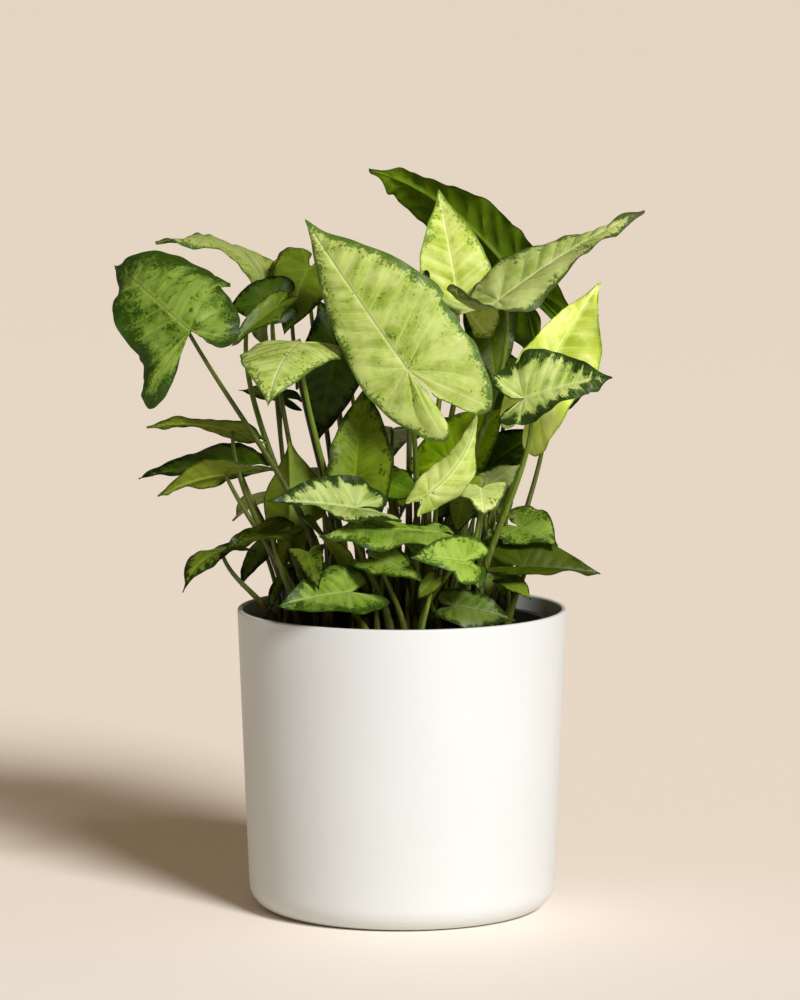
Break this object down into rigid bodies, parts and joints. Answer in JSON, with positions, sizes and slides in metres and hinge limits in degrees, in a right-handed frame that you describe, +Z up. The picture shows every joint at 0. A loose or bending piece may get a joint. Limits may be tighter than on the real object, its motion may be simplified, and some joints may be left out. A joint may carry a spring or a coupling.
{
  "type": "potted arrowhead plant",
  "caption": "Syngonium with arrow-shaped variegated leaves on separate stalks, rooted in soil in a black nursery pot inside a plain white cover pot.",
  "frame": {"origin": "middle of the cover pot's underside, on the surface it stands on", "axes": "+Z up through the pot's middle; -Y towards the front, where the largest pale leaf faces; +X to the right seen from the front"},
  "size_m": [0.2882, 0.2163, 0.4033],
  "materials": {
    "pot": "satin white, matte moulded surface",
    "nursery_pot": "matt black polypropylene",
    "soil": "dark damp potting mix",
    "leaf_pale": "satin pale yellow-green",
    "leaf_yellow": "satin bright yellow-green",
    "leaf_cream": "satin cream with green",
    "leaf_grey": "satin grey-green",
    "leaf_mid": "satin mid green",
    "leaf_olive": "satin olive green",
    "leaf_under": "matt grey-green underside",
    "leaf_dark": "satin dark green",
    "leaf_deep": "satin deep green"
  },
  "bodies": {
    "root": {"pot": "pot", "nursery_pot": "nursery_pot", "soil": "soil", "leaf_front_large": "leaf_pale", "leaf_far_left": "leaf_mid", "leaf_top_left_pale": "leaf_pale", "leaf_back_left_grey": "leaf_under", "leaf_shaded_left_inner": "leaf_dark", "leaf_shaded_left_outer": "leaf_dark", "leaf_left_grey_folded": "leaf_under", "leaf_left_pale_hanging": "leaf_pale", "leaf_top_dark": "leaf_deep", "leaf_top_yellow": "leaf_yellow", "leaf_top_right_long": "leaf_grey", "leaf_right_hanging_olive": "leaf_olive", "leaf_right_yellow": "leaf_yellow", "leaf_right_cream": "leaf_cream", "leaf_right_inner_dark": "leaf_dark", "leaf_right_behind": "leaf_dark", "leaf_centre_shaded": "leaf_dark", "leaf_centre_inner": "leaf_dark", "leaf_centre_sail": "leaf_olive", "leaf_cream_left": "leaf_cream", "leaf_centre_level": "leaf_mid", "leaf_right_pale_sail": "leaf_yellow", "leaf_right_green_mid": "leaf_mid", "leaf_right_curl": "leaf_pale", "leaf_right_small_olive": "leaf_olive", "leaf_centre_small_dark": "leaf_dark", "leaf_right_lower_dark": "leaf_dark", "leaf_left_level_long": "leaf_dark", "leaf_left_turned": "leaf_under", "leaf_left_upper_grey": "leaf_under", "leaf_left_olive_upright": "leaf_olive", "leaf_left_inner_strip": "leaf_dark", "leaf_right_small_pale": "leaf_pale", "leaf_low_left_upper": "leaf_mid", "leaf_low_far_left": "leaf_mid", "leaf_low_left_dark": "leaf_dark", "leaf_low_left_sliver": "leaf_dark", "leaf_low_left_star": "leaf_mid", "leaf_low_left_big": "leaf_pale", "leaf_low_centre_small": "leaf_mid", "leaf_low_centre_bright": "leaf_pale", "leaf_low_centre_tiny": "leaf_yellow", "leaf_low_right_pale": "leaf_pale", "leaf_low_right_front": "leaf_mid", "leaf_low_right_curl": "leaf_dark", "leaf_low_right_upright": "leaf_mid", "leaf_right_low_pale": "leaf_pale", "leaf_low_right_long": "leaf_olive", "leaf_low_right_star": "leaf_mid", "leaf_back_top": "leaf_mid", "leaf_back_left": "leaf_mid", "leaf_back_right": "leaf_mid", "leaf_back_middle": "leaf_mid", "leaf_back_low_left": "leaf_mid", "leaf_back_low_right": "leaf_mid", "leaf_back_low_middle": "leaf_pale", "leaf_back_side_left": "leaf_pale"}
  },
  "joints": []
}
